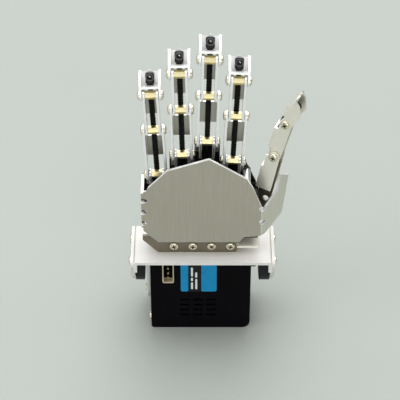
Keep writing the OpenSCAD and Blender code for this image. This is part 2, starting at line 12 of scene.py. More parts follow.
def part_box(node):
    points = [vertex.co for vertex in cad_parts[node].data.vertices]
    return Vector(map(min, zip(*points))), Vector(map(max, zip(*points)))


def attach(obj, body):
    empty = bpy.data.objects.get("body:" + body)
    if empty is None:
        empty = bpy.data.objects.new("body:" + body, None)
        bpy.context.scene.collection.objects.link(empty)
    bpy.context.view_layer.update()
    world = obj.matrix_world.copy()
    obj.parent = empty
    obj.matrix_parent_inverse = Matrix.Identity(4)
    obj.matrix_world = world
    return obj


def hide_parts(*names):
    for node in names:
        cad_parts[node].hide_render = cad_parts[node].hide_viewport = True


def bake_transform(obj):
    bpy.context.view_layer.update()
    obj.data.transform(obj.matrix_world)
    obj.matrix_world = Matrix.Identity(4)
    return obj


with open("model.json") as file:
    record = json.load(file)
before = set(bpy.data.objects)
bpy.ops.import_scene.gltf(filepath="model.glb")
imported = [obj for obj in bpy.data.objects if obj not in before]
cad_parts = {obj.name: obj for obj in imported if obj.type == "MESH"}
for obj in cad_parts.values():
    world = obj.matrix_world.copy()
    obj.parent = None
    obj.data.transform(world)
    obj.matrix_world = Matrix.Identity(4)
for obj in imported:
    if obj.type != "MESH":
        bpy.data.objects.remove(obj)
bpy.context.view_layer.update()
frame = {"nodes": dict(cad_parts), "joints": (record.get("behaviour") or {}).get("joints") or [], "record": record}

MM = 0.001
NODES = frame["nodes"]
JOINTS = {joint["name"]: joint for joint in frame["joints"]}
FINGERS = ("little", "ring", "middle", "index")
SCENE = bpy.context.scene
RNG = random.Random(7)
# Where the faces of CAD nodes change between their finishes, painted highlights, painted light and painted shade,
# in mm
FOOT_X = 14.2
WING_X = 22.3
FOOT_TOP = 48.2
CHANNEL_FRONT = -11.6
CHANNEL_WEB = -8.0

# ---------- camera, floor and light ----------

CAMERA_TARGET = Vector((-0.0002, 0, 0.0553))
CAMERA_DISTANCE = 0.59
CAMERA_ELEVATION = math.radians(40)
CAMERA_LENS = 145
SENSOR_WIDTH = 36


def make_camera():
    data = bpy.data.cameras.new("camera")
    data.lens = CAMERA_LENS
    data.sensor_width = SENSOR_WIDTH
    data.clip_start = 0.01
    camera = bpy.data.objects.new("camera", data)
    SCENE.collection.objects.link(camera)
    back = Vector((0, -math.cos(CAMERA_ELEVATION), math.sin(CAMERA_ELEVATION)))
    camera.location = CAMERA_TARGET + back * CAMERA_DISTANCE
    camera.rotation_euler = (-back).to_track_quat("-Z", "Y").to_euler()
    SCENE.camera = camera


def area_light(name, size, energy, location, target, color=(1, 1, 1)):
    data = bpy.data.lights.new(name, "AREA")
    data.shape = "RECTANGLE"
    data.size, data.size_y = size
    data.energy = energy
    data.color = color
    light = bpy.data.objects.new(name, data)
    SCENE.collection.objects.link(light)
    light.location = location
    light.rotation_euler = (Vector(target) - Vector(location)).to_track_quat("-Z", "Y").to_euler()


def make_world():
    world = bpy.data.worlds.new("studio")
    SCENE.world = world
    world.use_nodes = True
    nodes, links = world.node_tree.nodes, world.node_tree.links
    background = nodes["Background"]
    place = nodes.new("ShaderNodeTexCoord")
    split = nodes.new("ShaderNodeSeparateXYZ")
    ramp = nodes.new("ShaderNodeValToRGB")
    links.new(place.outputs["Generated"], split.inputs[0])
    links.new(split.outputs["Z"], ramp.inputs["Fac"])
    links.new(ramp.outputs["Color"], background.inputs["Color"])
    ramp.color_ramp.elements[0].position = 0.0
    ramp.color_ramp.elements[0].color = (0.16, 0.165, 0.16, 1)
    ramp.color_ramp.elements[1].position = 0.9
    ramp.color_ramp.elements[1].color = (0.98, 1.0, 0.98, 1)
    background.inputs["Strength"].default_value = 0.66


def make_light():
    area_light("overhead_softbox", (1.3, 1.3), 10.5, (-0.05, 0.1, 1.1), (0, 0, 0.05))
    area_light("rear_softbox", (1.0, 0.6), 3.6, (0.1, 0.9, 0.7), (0, 0, 0.06))
    area_light("front_softbox", (1.2, 0.5), 3.4, (0.05, -1.15, 0.28), (0, 0, 0.08))
    area_light("left_fill", (0.4, 0.6), 1.3, (-0.8, -0.3, 0.45), (0, 0, 0.06))


# ---------- materials ----------


class Look:
    """A Principled material and the short calls that add its procedural detail."""

    def __init__(self, name, color, roughness, metallic=0.0, **sockets):
        self.material = bpy.data.materials.new(name)
        self.material.use_nodes = True
        self.nodes = self.material.node_tree.nodes
        self.links = self.material.node_tree.links
        self.shader = self.nodes["Principled BSDF"]
        self.color = color
        self.shader.inputs["Base Color"].default_value = (*color, 1)
        self.shader.inputs["Roughness"].default_value = roughness
        self.shader.inputs["Metallic"].default_value = metallic
        for socket, value in sockets.items():
            self.shader.inputs[socket.replace("_", " ")].default_value = value
        self.normal = None
        self.place = self.nodes.new("ShaderNodeTexCoord")

    def noise(self, scale, detail=3.0, roughness=0.55):
        """Noise over the piece. scale is cycles per metre along x, y and z."""
        mapping = self.nodes.new("ShaderNodeMapping")
        mapping.inputs["Scale"].default_value = scale
        texture = self.nodes.new("ShaderNodeTexNoise")
        texture.inputs["Scale"].default_value = 1.0
        texture.inputs["Detail"].default_value = detail
        texture.inputs["Roughness"].default_value = roughness
        self.links.new(self.place.outputs["Object"], mapping.inputs["Vector"])
        self.links.new(mapping.outputs["Vector"], texture.inputs["Vector"])
        return texture.outputs["Fac"]

    def tint(self, value, dark, light, low=0.3, high=0.7):
        """Base colour runs from dark to light times the material's own colour."""
        ramp = self.nodes.new("ShaderNodeValToRGB")
        stops = ramp.color_ramp.elements
        stops[0].position, stops[1].position = low, high
        stops[0].color = (*[min(1, c * dark) for c in self.color], 1)
        stops[1].color = (*[min(1, c * light) for c in self.color], 1)
        self.links.new(value, ramp.inputs["Fac"])
        self.links.new(ramp.outputs["Color"], self.shader.inputs["Base Color"])
        return self

    def rough(self, value, low, high):
        spread = self.nodes.new("ShaderNodeMapRange")
        spread.inputs["From Min"].default_value = 0.3
        spread.inputs["From Max"].default_value = 0.7
        spread.inputs["To Min"].default_value = low
        spread.inputs["To Max"].default_value = high
        self.links.new(value, spread.inputs["Value"])
        self.links.new(spread.outputs["Result"], self.shader.inputs["Roughness"])
        return self

    def bump(self, value, height, strength=1.0):
        """Raises the surface by height, in metres."""
        bump = self.nodes.new("ShaderNodeBump")
        bump.inputs["Distance"].default_value = height
        bump.inputs["Strength"].default_value = strength
        self.links.new(value, bump.inputs["Height"])
        if self.normal is not None:
            self.links.new(self.normal, bump.inputs["Normal"])
        self.normal = bump.outputs["Normal"]
        self.links.new(self.normal, self.shader.inputs["Normal"])
        return self


def moulded_plastic(name, color, roughness, grain=0.000012, shine=0.5):
    look = Look(name, color, roughness, Specular_IOR_Level=shine)
    grit = look.noise((5200, 5200, 5200))
    cloud = look.noise((160, 160, 160))
    look.tint(cloud, 0.8, 1.25).rough(cloud, roughness - 0.07, roughness + 0.08).bump(grit, grain)
    return look.material


def hairline_metal(name, color, roughness, grain=(4600, 4600, 70), height=0.000010, contrast=0.1):
    """Brushed sheet, with its lines along z."""
    look = Look(name, color, roughness, metallic=1.0)
    line = look.noise(grain, detail=2.0)
    patch = look.noise((60, 60, 45))
    look.tint(line, 1 - contrast, 1 + contrast).rough(patch, roughness - 0.06, roughness + 0.08)
    return look.bump(line, height, 0.6).material


def mill_metal(name, color, roughness, height=0.000006, shine=1.0):
    """Rolled sheet or turned metal, with faint handling marks; less shine gives a sheared, frosted face."""
    look = Look(name, color, roughness, metallic=shine)
    patch = look.noise((330, 330, 330))
    scratch = look.noise((2600, 900, 2600), detail=4.0)
    look.tint(patch, 0.96, 1.03).rough(scratch, roughness - 0.03, roughness + 0.06)
    return look.bump(scratch, height).material


def satin_paint(name, color, roughness):
    look = Look(name, color, roughness, Coat_Weight=0.15, Coat_Roughness=0.3)
    peel = look.noise((1500, 1500, 1500))
    smudge = look.noise((90, 90, 90), detail=5.0)
    look.tint(smudge, 0.955, 1.02).rough(smudge, roughness - 0.05, roughness + 0.07)
    return look.bump(peel, 0.000010).material


def braided_cord(name, color):
    look = Look(name, color, 0.55, Specular_IOR_Level=0.2, Sheen_Weight=0.04, Sheen_Roughness=0.4)
    fibre = look.noise((6500, 6500, 1400), detail=4.0)
    look.tint(fibre, 0.6, 1.7).rough(fibre, 0.42, 0.68)
    return look.bump(fibre, 0.00003).material


def printed_film(name, color):
    look = Look(name, color, 0.36, Specular_IOR_Level=0.25, Coat_Weight=0.08, Coat_Roughness=0.15)
    mottle = look.noise((420, 420, 420))
    look.tint(mottle, 0.94, 1.05).rough(mottle, 0.27, 0.38)
    return look.bump(mottle, 0.000008).material


def cloth_floor(name, color):
    look = Look(name, color, 0.9)
    shade = look.noise((5, 5, 5), detail=2.0)
    weave = look.noise((900, 500, 900), detail=3.0)
    look.tint(shade, 0.975, 1.02).bump(weave, 0.00012, 0.5)
    return look.material


CASE_BLACK = moulded_plastic("case_black", (0.0026, 0.0022, 0.0034), 0.55, shine=0.05)
HORN_BLACK = moulded_plastic("horn_black", (0.006, 0.006, 0.008), 0.42, shine=0.28)
DARK_PLASTIC = moulded_plastic("dark_plastic", (0.008, 0.008, 0.01), 0.4, shine=0.35)
BEAD_BLACK = moulded_plastic("bead_black", (0.003, 0.003, 0.0035), 0.26, grain=0.000006, shine=0.22)
# Painted light: the bead's rim is a lit grey copy of its black plastic.
BEAD_RIM_PAINTED_LIGHT = moulded_plastic("bead_rim_painted_light", (0.06, 0.06, 0.062), 0.34, grain=0.000006, shine=0.5)
# Painted highlight: a pale stub standing for the glint inside the bead's window.
HIGHLIGHT_STUB_PALE = moulded_plastic("painted_highlight_stub", (0.72, 0.72, 0.70), 0.5)
CREAM_PLASTIC = moulded_plastic("cream_plastic", (0.62, 0.55, 0.38), 0.45)
WHITE_NYLON = moulded_plastic("white_nylon", (0.68, 0.68, 0.64), 0.42)
BOARD_GREEN = moulded_plastic("board_green", (0.02, 0.16, 0.06), 0.35)
HAIRLINE = hairline_metal("hairline_aluminium", (0.525, 0.492, 0.420), 0.42, height=0.000006, contrast=0.06)
# Painted shade: the frame's aluminium is darkened to brown, standing for the shade it sits in behind the back
# plate.
SHADED_FRAME_METAL = hairline_metal("frame_aluminium", (0.24, 0.21, 0.165), 0.42, contrast=0.05)
SHEET = hairline_metal("sheet_aluminium", (0.82, 0.82, 0.81), 0.30, height=0.000004, contrast=0.03)
# Cut edges and rounded bands: a whiter, matter metal, partly the real cut finish and partly a painted highlight.
CUT_EDGE_AND_HIGHLIGHT = mill_metal("cut_edge_and_painted_highlight", (0.97, 0.97, 0.96), 0.38, shine=0.35)
# Painted light: a whiter, less metallic copy of the finger sheet, so the curled fingertips read as brightly lit.
TIP_METAL_PAINTED_LIGHT = mill_metal("tip_aluminium_painted_light", (0.93, 0.93, 0.92), 0.4, shine=0.55)
THUMB_METAL = mill_metal("thumb_aluminium", (0.90, 0.875, 0.78), 0.38, shine=0.8)
# Painted light: a lighter copy of the back plate's metal for the wing, which turns up towards the overhead light.
WING_METAL_PAINTED_LIGHT = hairline_metal("wing_aluminium_painted_light", (0.70, 0.69, 0.61), 0.42, height=0.000006, contrast=0.05)
# Painted shade: the thumb bracket's metal is darkened to brown for the shade behind the back plate.
SHADED_POCKET_METAL = hairline_metal("pocket_aluminium_painted_shade", (0.42, 0.36, 0.27), 0.4, height=0.000004, contrast=0.05)
# Painted shade: the finger webs are darkened for the shade cast by the cords and side plates.
SHADED_WEB_METAL = hairline_metal("web_aluminium_painted_shade", (0.46, 0.45, 0.40), 0.36, height=0.000004, contrast=0.04)
# Painted light: a cream-white, nearly matte lit copy of the frame's metal, for its foot and its rounded edges.
FOOT_METAL_PAINTED_LIGHT = mill_metal("foot_aluminium_painted_light", (1.0, 0.95, 0.82), 0.45, shine=0.1)
STEEL = mill_metal("screw_nickel", (0.82, 0.77, 0.60), 0.2)
# Painted shade: the screw recess is dark metal for the shade inside the hollow.
RECESS_PAINTED_SHADE = mill_metal("screw_recess_painted_shade", (0.10, 0.085, 0.05), 0.5)
SPACER_STEEL = mill_metal("spacer_steel", (0.6, 0.6, 0.6), 0.25)
GOLD = mill_metal("spacer_gold", (0.97, 0.86, 0.50), 0.3, height=0.000002)
MOTOR_CAN = mill_metal("motor_can", (0.45, 0.45, 0.46), 0.3)
BRASS = mill_metal("shaft_brass", (0.75, 0.6, 0.3), 0.25)
WHITE_PAINT = satin_paint("white_satin_paint", (0.82, 0.80, 0.77), 0.4)
# Near-black plate: partly the black parts seen behind the knuckles and partly painted shade there.
PLATE_BLACK_AND_SHADE = satin_paint("black_plate", (0.008, 0.008, 0.009), 0.4)
CORD_BLACK = braided_cord("black_cord", (0.0045, 0.004, 0.0042))
FILM_BLACK = printed_film("film_black", (0.005, 0.005, 0.006))
FILM_BLUE = printed_film("film_blue", (0.003, 0.29, 0.60))
FILM_PALE = printed_film("film_pale", (0.85, 0.88, 0.88))
FLOOR = cloth_floor("pale_floor", (0.435, 0.462, 0.435))


def make_floor():
    mesh = bpy.data.meshes.new("floor")
    grid = bmesh.new()
    bmesh.ops.create_grid(grid, x_segments=8, y_segments=8, size=4.0)
    grid.to_mesh(mesh)
    grid.free()
    floor = bpy.data.objects.new("floor", mesh)
    mesh.materials.append(FLOOR)
    SCENE.collection.objects.link(floor)
    floor.location.z = -0.00002


# ---------- mesh helpers ----------


def piece(name, bm, materials, smooth_angle=35):
    """Turns a bmesh in metres into a shaded object with these materials."""
    bmesh.ops.recalc_face_normals(bm, faces=bm.faces)
    mesh = bpy.data.meshes.new(name)
    bm.to_mesh(mesh)
    bm.free()
    for material in materials:
        mesh.materials.append(material)
    for polygon in mesh.polygons:
        polygon.use_smooth = True
    mesh.set_sharp_from_angle(angle=math.radians(smooth_angle))
    made = bpy.data.objects.new(name, mesh)
    SCENE.collection.objects.link(made)
    return made


def soften(made, width, segments=2, edge_highlight_material=None, angle=35):
    """Rounds a piece's edges; the rounded band can have its own brighter material, partly a painted highlight
    along the edge.
    """
    weld = made.modifiers.new("weld", "WELD")
    weld.merge_threshold = 0.000002
    flat = made.modifiers.new("flat", "DECIMATE")
    flat.decimate_type = "DISSOLVE"
    flat.angle_limit = math.radians(0.8)
    bevel = made.modifiers.new("bevel", "BEVEL")
    bevel.width = width
    bevel.segments = segments
    bevel.limit_method = "ANGLE"
    bevel.angle_limit = math.radians(angle)
    bevel.harden_normals = False
    if edge_highlight_material is not None:
        bevel.material = edge_highlight_material
    normals = made.modifiers.new("normals", "WEIGHTED_NORMAL")
    normals.keep_sharp = True


def dress(node, material, width=0.12 * MM, segments=2, edge=None, extra=None, choose=None, angle=35):
    """Gives a CAD node its materials and its softened edges.

    choose(centre, normal) says which faces take another material: 1 for edge, 2 for extra. On several nodes these
    carry painted highlights, painted light and painted shade.
    """
    made = NODES[node]
    made.data.materials.clear()
    for finish in (material, edge, extra):
        if finish is not None:
            made.data.materials.append(finish)
    for polygon in made.data.polygons:
        polygon.material_index = choose(polygon.center / MM, polygon.normal) if choose else 0
        polygon.use_smooth = True
    soften(made, width, segments, 1 if edge is not None else None, angle)


def back_faces(centre, normal):
    """The back plate's cut edges and faces turned off its plane, partly a painted highlight, and its turned-out
    wing on the thumb side, painted lighter as lit from above.
    """
    if abs(normal.y) < 0.6:
        return 1
    return 2 if centre.x > WING_X else 0


def painted_light_foot_faces(centre, normal):
    """The frame's forward foot takes a cream-white, nearly matte lit copy of the frame metal: painted light from
    above.
    """
    return 1 if centre.x > FOOT_X and centre.z < FOOT_TOP else 0


def channel_highlight_and_shade_faces(centre, normal):
    """Front edges of a finger channel are cut, partly with a painted highlight; its web is painted darker than its
    sides, as painted shade from the cords and side plates.
    """
    if centre.y < CHANNEL_FRONT:
        return 1
    return 2 if normal.y < -0.8 and centre.y > CHANNEL_WEB else 0


def place(piece_made, body, slot, *nodes):
    """A made piece rides on its body and stands for CAD nodes."""
    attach(piece_made, body)
    if nodes:
        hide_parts(*nodes)


def body_of(node):
    return next(body for body, names in frame["record"]["behaviour"]["bodies"].items() if node in names)


def islands(node):
    """The separate solids of a CAD node, each as an array of its corner points."""
    mesh = NODES[node].data
    bm = bmesh.new()
    bm.from_mesh(mesh)
    bmesh.ops.remove_doubles(bm, verts=bm.verts, dist=0.000002)
    left = set(bm.verts)
    found = []
    while left:
        stack = [left.pop()]
        island = []
        while stack:
            vert = stack.pop()
            island.append(tuple(vert.co))
            for edge in vert.link_edges:
                other = edge.other_vert(vert)
                if other in left:
                    left.remove(other)
                    stack.append(other)
        found.append(np.array(island))
    bm.free()
    return sorted(found, key=lambda points: tuple(np.round(points.mean(0), 6)))


def turn_to(axis):
    """Rotation that takes +Z to axis."""
    return Vector((0, 0, 1)).rotation_difference(Vector(axis)).to_matrix().to_4x4()


def lathe(bm, profile, segments, matrix, material=0, spin=0.0):
    """Adds a closed turned solid. profile runs over (radius, height) and starts and ends on the axis."""
    rings = []
    for radius, height in profile:
        if radius < 1e-9:
            rings.append([bm.verts.new(matrix @ Vector((0, 0, height)))])
            continue
        angles = [spin + 2 * math.pi * i / segments for i in range(segments)]
        ring = [Vector((radius * math.cos(a), radius * math.sin(a), height)) for a in angles]
        rings.append([bm.verts.new(matrix @ point) for point in ring])
    for lower, upper in zip(rings, rings[1:]):
        for i in range(segments):
            k = (i + 1) % segments
            corners = [lower[i % len(lower)], lower[k % len(lower)],
                       upper[k % len(upper)], upper[i % len(upper)]]
            face = bm.faces.new(list(dict.fromkeys(corners)))
            face.material_index = material


def add_mesh(bm, mesh, matrix, material_shift=0):
    """Adds a copy of a mesh, moved by matrix."""
    verts = [bm.verts.new(matrix @ vert.co) for vert in mesh.vertices]
    for polygon in mesh.polygons:
        face = bm.faces.new([verts[i] for i in polygon.vertices])
        face.material_index = polygon.material_index + material_shift


def box_verts(bm, low, high, matrix=Matrix.Identity(4), material=0):
    """Adds a box between two corners and returns its faces."""
    made = bmesh.ops.create_cube(bm, size=1.0)
    size = Vector(high) - Vector(low)
    centre = (Vector(high) + Vector(low)) / 2
    for vert in made["verts"]:
        vert.co = matrix @ (centre + Vector(a * b for a, b in zip(vert.co, size)))
    faces = {face for vert in made["verts"] for face in vert.link_faces}
    for face in faces:
        face.material_index = material
    return faces


def round_rect(width, height, radii, steps=6):
    """Corner points of a rectangle with rounded corners; radii start at the lower left and go round."""
    centres = [(-1, -1, 180), (1, -1, 270), (1, 1, 0), (-1, 1, 90)]
    points = []
    for (sx, sy, start), radius in zip(centres, radii):
        cx, cy = sx * (width / 2 - radius), sy * (height / 2 - radius)
        for i in range(steps + 1 if radius > 0 else 1):
            a = math.radians(start + 90 * i / steps)
            points.append((cx + radius * math.cos(a), cy + radius * math.sin(a)))
    return points


def slab(bm, outline, centre, depth, material=0):
    """Adds an (x, z) outline as a plate whose front face is at centre.y - depth."""
    back = [bm.verts.new((centre[0] + x, centre[1], centre[2] + z)) for x, z in outline]
    front = [bm.verts.new((centre[0] + x, centre[1] - depth, centre[2] + z)) for x, z in outline]
    count = len(outline)
    faces = [bm.faces.new(front), bm.faces.new(back[::-1])]
    for i in range(count):
        k = (i + 1) % count
        faces.append(bm.faces.new([front[i], back[i], back[k], front[k]]))
    for face in faces:
        face.material_index = material


# ---------- screws ----------

HEAD_R = 1.65
HEAD_H = 0.85
SHANK_R = 1.0
THREAD_PITCH = 0.4
THREAD_DEPTH = 0.11
RECESS_WIDTH = 0.52
RECESS_SPAN = 2.1
RECESS_DEPTH = 0.55
RECESS_RISE = 0.3
RECESS_TAPER = (0.62, 0.8)
HEAD_SEGMENTS = 40


def scaled(points):
    return [(radius * MM, height * MM) for radius, height in points]


def head_mesh():
    """Pan head seated at z = 0 with a tapered cross recess, whose walls are painted dark as painted shade."""
    profile = [(0, 0), (HEAD_R * 0.97, 0), (HEAD_R, 0.05), (HEAD_R, 0.3), (HEAD_R * 0.965, 0.47),
               (HEAD_R * 0.88, 0.63), (HEAD_R * 0.72, 0.75), (HEAD_R * 0.5, 0.82), (0, HEAD_H)]
    head = bmesh.new()
    lathe(head, scaled(profile), HEAD_SEGMENTS, Matrix.Identity(4))
    target = piece("head", head, [STEEL, RECESS_PAINTED_SHADE])
    bars = bmesh.new()
    foot = (HEAD_H - RECESS_DEPTH) * MM
    half_span, half_width = RECESS_SPAN / 2 * MM, RECESS_WIDTH / 2 * MM
    for turn in (0, 90):
        faces = box_verts(bars, (-half_span, -half_width, foot),
                          (half_span, half_width, (HEAD_H + RECESS_RISE) * MM), material=1)
        verts = {vert for face in faces for vert in face.verts}
        for vert in verts:
            if abs(vert.co.z - foot) < 1e-9:
                vert.co.x *= RECESS_TAPER[0]
                vert.co.y *= RECESS_TAPER[1]
        spin = Matrix.Rotation(math.radians(turn), 3, "Z")
        bmesh.ops.rotate(bars, verts=list(verts), cent=(0, 0, 0), matrix=spin)
    cutter = piece("recess", bars, [STEEL, RECESS_PAINTED_SHADE])
    cut = target.modifiers.new("cut", "BOOLEAN")
    cut.operation = "DIFFERENCE"
    cut.solver = "EXACT"
    cut.use_self = True
    cut.object = cutter
    bpy.context.view_layer.update()
    graph = bpy.context.evaluated_depsgraph_get()
    mesh = bpy.data.meshes.new_from_object(target.evaluated_get(graph))
    bpy.data.objects.remove(target)
    bpy.data.objects.remove(cutter)
    return mesh


def screw_place(points):
    """Seat point, head direction and shank length of a CAD screw, from its corner points."""
    centre = points.mean(0)
    values, vectors = np.linalg.eigh(np.cov((points - centre).T))
    axis = vectors[:, 0] if values[1] - values[0] > values[2] - values[1] else vectors[:, 2]
    along = (points - centre) @ axis
    radius = np.linalg.norm((points - centre) - np.outer(along, axis), axis=1)
    wide = along[radius > HEAD_R * 0.9 * MM]
    if wide.mean() < (along.max() + along.min()) / 2:
        axis, along, wide = -axis, -along, -wide
    seat = wide.min()
    return Vector(centre + axis * seat), Vector(axis), seat - along.min()


def shank_profile(length):
    """A threaded shank below z = 0, length in metres, from its chamfered end to the seat."""
    rings = max(4, int(length / MM / (THREAD_PITCH / 2)))
    core = (SHANK_R - THREAD_DEPTH) * MM
    profile = [(0, -length), (core * 0.8, -length)]
    for i in range(1, rings):
        crest = SHANK_R * MM if i % 2 else core
        profile.append((crest, -length + length * i / rings))
    return profile + [(core, 0), (0, 0)]


HEAD = head_mesh()


def make_screws(node, slot="screw_steel"):
    """Detailed pan-head screws in place of a CAD node's plain ones."""
    bm = bmesh.new()
    for points in islands(node):
        seat, axis, length = screw_place(points)
        spin = Matrix.Rotation(RNG.uniform(0, math.pi / 2), 4, "Z")
        matrix = Matrix.Translation(seat) @ turn_to(axis)
        add_mesh(bm, HEAD, matrix @ spin)
        lathe(bm, shank_profile(length), 16, matrix)
    made = piece("detailed_" + node, bm, [STEEL, RECESS_PAINTED_SHADE], 28)
    place(made, body_of(node), slot, node)


# ---------- cords and knots ----------

CORD_WIDTH = 2.1
CORD_THICK = 1.0
CORD_OFFSET = 2.15
CORD_Y = -7.85
LANE_START = -12.5
LANE_PITCH = 3.7
GUIDE_Z = 66.7
DRUM_Z = 60.6
BELOW_KNUCKLE = 6.5
CORD_TOP = 3.2
RING_STEP = 0.36
STRANDS = 8
STRAND_R = 0.26
BRAID_PITCH = 5.0
BRAID_LIFT = 0.07
STRAND_SIDES = 6
CORNER_REACH = 2.0
THUMB_LEAN = math.radians(11)
THUMB_TIP_OPEN = math.radians(21)
THUMB_LEAD = 16.1
THUMB_GUIDE = ((-9.8, 64.9), (-9.8, 71.8))
TIP_CURL = math.radians(25)
BEND_REACH = 4.5
TIP_REACH = (5.0, 2.0)


def joint_pos(name):
    return Vector(JOINTS[name]["pos_m"]) / MM


def joint_x(name):
    """The pin's own direction, to the thumb side, of a finger joint."""
    return -Vector(JOINTS[name]["axis"]).normalized()


def rounded_route(points, normals):
    """Samples of a route in mm with its corners rounded, each as (point, normal)."""
    route = [(points[0], normals[0])]
    for i in range(1, len(points) - 1):
        before, here, after = points[i - 1], points[i], points[i + 1]
        reach = min(CORNER_REACH, (here - before).length / 2.2, (after - here).length / 2.2)
        start = here + (before - here).normalized() * reach
        end = here + (after - here).normalized() * reach
        for k in range(7):
            t = k / 6
            point = start * (1 - t) ** 2 + here * 2 * t * (1 - t) + end * t * t
            route.append((point, normals[i]))
    route.append((points[-1], normals[-1]))
    return route


def resample(route, step):
    """Evenly spaced (point, tangent, normal) along a route in mm."""
    points = np.array([tuple(p) for p, _ in route])
    normals = np.array([tuple(n) for _, n in route])
    run = np.concatenate([[0], np.cumsum(np.linalg.norm(np.diff(points, axis=0), axis=1))])
    count = max(2, int(round(run[-1] / step)))
    at = np.linspace(0, run[-1], count + 1)
    points = np.stack([np.interp(at, run, points[:, i]) for i in range(3)], 1)
    normals = np.stack([np.interp(at, run, normals[:, i]) for i in range(3)], 1)
    tangents = np.gradient(points, axis=0)
    tangents /= np.linalg.norm(tangents, axis=1)[:, None]
    normals -= (normals * tangents).sum(1)[:, None] * tangents
    normals /= np.linalg.norm(normals, axis=1)[:, None]
    return at, points, tangents, normals


def tube(bm, centres, radius, sides, frames=None):
    """Adds a closed tube along centres, in mm; radius is one number or one for each ring."""
    centres = np.asarray(centres)
    tangents = np.gradient(centres, axis=0)
    tangents /= np.linalg.norm(tangents, axis=1)[:, None]
    up = np.array(frames[0] if frames is not None else (0.0, 1.0, 0.001))
    rings = []
    for i, (centre, tangent) in enumerate(zip(centres, tangents)):
        if frames is not None:
            up = frames[i]
        side = np.cross(tangent, up)
        side /= np.linalg.norm(side)
        up = np.cross(side, tangent)
        r = radius if np.isscalar(radius) else radius[i]
        ring = []
        for k in range(sides):
            a = 2 * math.pi * k / sides
            ring.append(bm.verts.new((centre + r * (math.cos(a) * side + math.sin(a) * up)) * MM))
        rings.append(ring)
    for lower, upper in zip(rings, rings[1:]):
        for k in range(sides):
            n = (k + 1) % sides
            bm.faces.new([lower[k], lower[n], upper[n], upper[k]])
    bm.faces.new(rings[0][::-1])
    bm.faces.new(rings[-1])


def braid(bm, at, points, tangents, normals):
    """Adds a stretch of flat braid: half of its strands wind each way, over and under each other."""
    sides = np.cross(normals, tangents)
    half_w = CORD_WIDTH / 2 - STRAND_R - BRAID_LIFT
    half_t = CORD_THICK / 2 - STRAND_R
    for k in range(STRANDS):
        way = 1 if k % 2 else -1
        angle = way * 2 * np.pi * at / BRAID_PITCH + 4 * np.pi * (k // 2) / STRANDS
        lift = way * BRAID_LIFT * np.cos(np.pi * STRANDS * at / BRAID_PITCH)
        wide = (half_w + lift) * np.cos(angle)
        thick = (half_t + lift) * np.sin(angle)
        centres = points + wide[:, None] * sides + thick[:, None] * normals
        tube(bm, centres, STRAND_R, STRAND_SIDES, normals)
    core_w = half_w * 0.9
    for shift in (-0.5, 0, 0.5):
        tube(bm, points + shift * core_w * sides, half_t * 1.1, STRAND_SIDES, normals)


def cord_stretch(name, samples, start, end):
    """The part of a cord between two lengths along it, as its own piece."""
    at, points, tangents, normals = samples
    chosen = (at >= start - 1e-6) & (at <= end + 1e-6)
    bm = bmesh.new()
    braid(bm, at[chosen], points[chosen], tangents[chosen], normals[chosen])
    return piece(name, bm, [CORD_BLACK], 60)


def nearest_step(samples, point):
    """Length along the cord of the sample nearest to a point in mm."""
    at, points = samples[0], samples[1]
    return at[np.argmin(np.linalg.norm(points - np.array(point), axis=1))]


def bend_between(made):
    """Bakes a piece's transform into its mesh."""
    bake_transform(made)


def curled(x_axis, palm, along):
    """Palm side and direction of a fingertip that is curled at rest."""
    turn = Matrix.Rotation(-TIP_CURL, 3, x_axis)
    return turn @ palm, turn @ along


def make_finger_cord(finger, lane):
    knuckle, middle, tip = (joint_pos(f"{finger}_{j}") for j in ("knuckle", "middle_joint", "tip_joint"))
    x_axis = joint_x(finger + "_knuckle")
    palm = Vector((0, 1, 0))
    along = x_axis.cross(palm)
    offset = palm * CORD_OFFSET
    lane_x = LANE_START + lane * LANE_PITCH
    fold = CORD_OFFSET * math.tan(TIP_CURL / 2)
    tip_palm, tip_along = curled(x_axis, palm, along)
    points = [Vector((lane_x, CORD_Y, DRUM_Z)), Vector((lane_x, CORD_Y, GUIDE_Z)),
              knuckle + offset - along * BELOW_KNUCKLE, tip + offset - along * fold,
              tip + tip_palm * CORD_OFFSET + tip_along * CORD_TOP]
    normals = [palm] * 3 + [palm.lerp(tip_palm, 0.5), tip_palm]
    samples = resample(rounded_route(points, normals), RING_STEP)
    cuts = [nearest_step(samples, p) for p in (knuckle + offset - along * (BEND_REACH + 0.6),
                                               (knuckle + middle) / 2 + offset, (middle + tip) / 2 + offset)]
    ends = [samples[0][0], *cuts, samples[0][-1]]
    palm_run = cord_stretch(finger + "_cord_palm", samples, ends[0], ends[1])
    place(palm_run, "hand", "black_cord", finger + "_cord")
    spots = [(knuckle, (BEND_REACH, BEND_REACH)), (middle, (BEND_REACH, BEND_REACH)), (tip, TIP_REACH)]
    for i, (pivot, reach) in enumerate(spots):
        made = cord_stretch(f"{finger}_cord_{i + 1}", samples, ends[i + 1], ends[i + 2])
        bend_between(made)


def thumb_frame():
    """x axis, palm side and direction of the thumb's base, middle and tip."""
    x_axis = joint_x("thumb_knuckle")
    base = Vector((math.sin(THUMB_LEAN), 0, math.cos(THUMB_LEAN)))
    middle = (joint_pos("thumb_tip_joint") - joint_pos("thumb_knuckle")).normalized()
    tip = Matrix.Rotation(THUMB_TIP_OPEN, 3, x_axis) @ middle
    return x_axis, [(along.cross(x_axis), along) for along in (base, middle, tip)]


